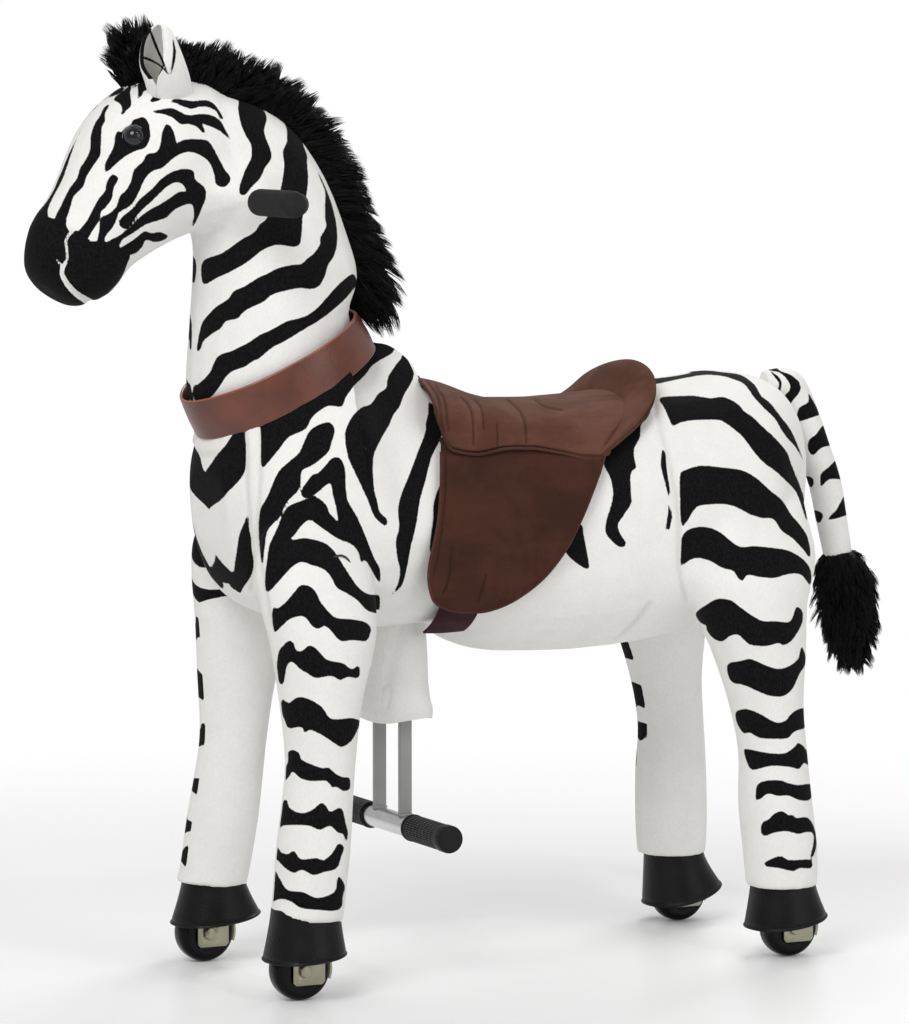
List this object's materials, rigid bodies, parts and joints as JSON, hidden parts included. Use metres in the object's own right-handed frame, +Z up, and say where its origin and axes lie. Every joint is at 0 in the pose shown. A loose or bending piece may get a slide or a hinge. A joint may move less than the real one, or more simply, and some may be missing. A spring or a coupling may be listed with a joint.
{
  "type": "mechanical ride-on horse",
  "caption": "Plush-covered ride-on animal with a saddle, footrest, steering handles and a hinged frame that spreads and closes its legs on small wheels.",
  "frame": {"origin": "centre of the bounding box on the floor", "axes": "+Z up, -Y the way the animal faces, +X its left"},
  "size_m": [0.38, 0.9536, 0.949],
  "materials": {
    "white_plush": "matte",
    "black_fur": "matte",
    "brown_suede": "matte",
    "maroon_web": "matte",
    "brown_leather": "satin",
    "black_leather": "satin",
    "black_tyre": "satin",
    "zinc_steel": "satin",
    "grey_paint": "satin",
    "bright_steel": "gloss",
    "black_rubber": "matte",
    "black_glass": "polished",
    "spring_steel": "satin",
    "saddle_board": "matte"
  },
  "bodies": {
    "saddle_frame": {"main_axle": "zinc_steel", "saddle_bracket": "grey_paint", "saddle_tree": "saddle_board", "saddle_seat": "brown_suede", "saddle_cantle": "brown_suede", "saddle_flap_left": "brown_suede", "saddle_flap_right": "brown_suede", "girth_strap_left": "maroon_web", "girth_strap_right": "maroon_web", "return_spring": "spring_steel"},
    "front_frame": {"front_spine": "grey_paint", "head_tube": "grey_paint", "pedal_frame": "bright_steel", "chest_plush": "white_plush", "collar": "brown_leather", "belly_skirt": "white_plush", "front_leg_tube_left": "grey_paint", "front_leg_tube_right": "grey_paint", "front_leg_plush_left": "white_plush", "front_leg_plush_right": "white_plush", "front_hoof_left": "black_leather", "front_hoof_right": "black_leather", "pedal_grip_left": "black_rubber", "pedal_grip_right": "black_rubber"},
    "rear_frame": {"rear_spine": "grey_paint", "rump_plush": "white_plush", "tail_plush": "white_plush", "tail_tuft": "black_fur", "rear_leg_tube_left": "grey_paint", "rear_leg_tube_right": "grey_paint", "rear_leg_plush_left": "white_plush", "rear_leg_plush_right": "white_plush", "rear_hoof_left": "black_leather", "rear_hoof_right": "black_leather", "rear_fork_left": "zinc_steel", "rear_fork_right": "zinc_steel", "rear_axle_bolt_left": "zinc_steel", "rear_axle_bolt_right": "zinc_steel"},
    "head": {"steering_column": "grey_paint", "neck_plush": "white_plush", "head_plush": "white_plush", "mane": "black_fur", "handle_grip_left": "black_rubber", "handle_grip_right": "black_rubber", "ear_left": "white_plush", "ear_right": "white_plush", "eye_left": "black_glass", "eye_right": "black_glass"},
    "front_left_fork": {"front_fork_left": "zinc_steel", "front_axle_bolt_left": "zinc_steel"},
    "front_right_fork": {"front_fork_right": "zinc_steel", "front_axle_bolt_right": "zinc_steel"},
    "front_left_wheel": {"front_wheel_left": "black_tyre"},
    "front_left_pawl": {"front_pawl_left": "zinc_steel"},
    "front_right_wheel": {"front_wheel_right": "black_tyre"},
    "front_right_pawl": {"front_pawl_right": "zinc_steel"},
    "rear_left_wheel": {"rear_wheel_left": "black_tyre"},
    "rear_left_pawl": {"rear_pawl_left": "zinc_steel"},
    "rear_right_wheel": {"rear_wheel_right": "black_tyre"},
    "rear_right_pawl": {"rear_pawl_right": "zinc_steel"}
  },
  "joints": [
    {"name": "front_swing", "type": "hinge", "parent": "saddle_frame", "child": "front_frame", "pos_m": [0, 0.03, 0.475], "axis": [1, 0, 0], "range_deg": [-6, 0], "stiffness_Nm_per_rad": 60, "springref_deg": 22.92, "deforming": ["return_spring"]},
    {"name": "rear_swing", "type": "hinge", "parent": "saddle_frame", "child": "rear_frame", "pos_m": [0, 0.03, 0.475], "axis": [1, 0, 0], "range_deg": [0, 6], "stiffness_Nm_per_rad": 60, "springref_deg": -22.92, "deforming": ["return_spring"]},
    {"name": "head_steer", "type": "hinge", "parent": "front_frame", "child": "head", "pos_m": [0, -0.2125, 0.608], "axis": [0, -0.4462, 0.8949], "range_deg": [-15, 15]},
    {"name": "front_left_fork_steer", "type": "hinge", "parent": "front_frame", "child": "front_left_fork", "pos_m": [0.118, -0.245, 0.03], "axis": [0, 0.0933, 0.9956], "range_deg": [-12, 12]},
    {"name": "front_right_fork_steer", "type": "hinge", "parent": "front_frame", "child": "front_right_fork", "pos_m": [-0.118, -0.245, 0.03], "axis": [0, 0.0933, 0.9956], "range_deg": [-12, 12]},
    {"name": "front_left_wheel_spin", "type": "hinge", "parent": "front_left_fork", "child": "front_left_wheel", "pos_m": [0.118, -0.245, 0.03], "axis": [1, 0, 0], "continuous": true},
    {"name": "front_left_pawl_swing", "type": "hinge", "parent": "front_left_fork", "child": "front_left_pawl", "pos_m": [0.118, -0.2235, 0.06], "axis": [1, 0, 0], "range_deg": [0, 12]},
    {"name": "front_right_wheel_spin", "type": "hinge", "parent": "front_right_fork", "child": "front_right_wheel", "pos_m": [-0.118, -0.245, 0.03], "axis": [1, 0, 0], "continuous": true},
    {"name": "front_right_pawl_swing", "type": "hinge", "parent": "front_right_fork", "child": "front_right_pawl", "pos_m": [-0.118, -0.2235, 0.06], "axis": [1, 0, 0], "range_deg": [0, 12]},
    {"name": "rear_left_wheel_spin", "type": "hinge", "parent": "rear_frame", "child": "rear_left_wheel", "pos_m": [0.118, 0.305, 0.03], "axis": [1, 0, 0], "continuous": true},
    {"name": "rear_left_pawl_swing", "type": "hinge", "parent": "rear_frame", "child": "rear_left_pawl", "pos_m": [0.118, 0.3265, 0.06], "axis": [1, 0, 0], "range_deg": [0, 12]},
    {"name": "rear_right_wheel_spin", "type": "hinge", "parent": "rear_frame", "child": "rear_right_wheel", "pos_m": [-0.118, 0.305, 0.03], "axis": [1, 0, 0], "continuous": true},
    {"name": "rear_right_pawl_swing", "type": "hinge", "parent": "rear_frame", "child": "rear_right_pawl", "pos_m": [-0.118, 0.3265, 0.06], "axis": [1, 0, 0], "range_deg": [0, 12]}
  ],
  "couplings": [
    {"joint": "rear_swing", "follows": "front_swing", "ratio": -1},
    {"joint": "front_left_fork_steer", "follows": "head_steer", "ratio": 0.8},
    {"joint": "front_right_fork_steer", "follows": "head_steer", "ratio": 0.8}
  ]
}
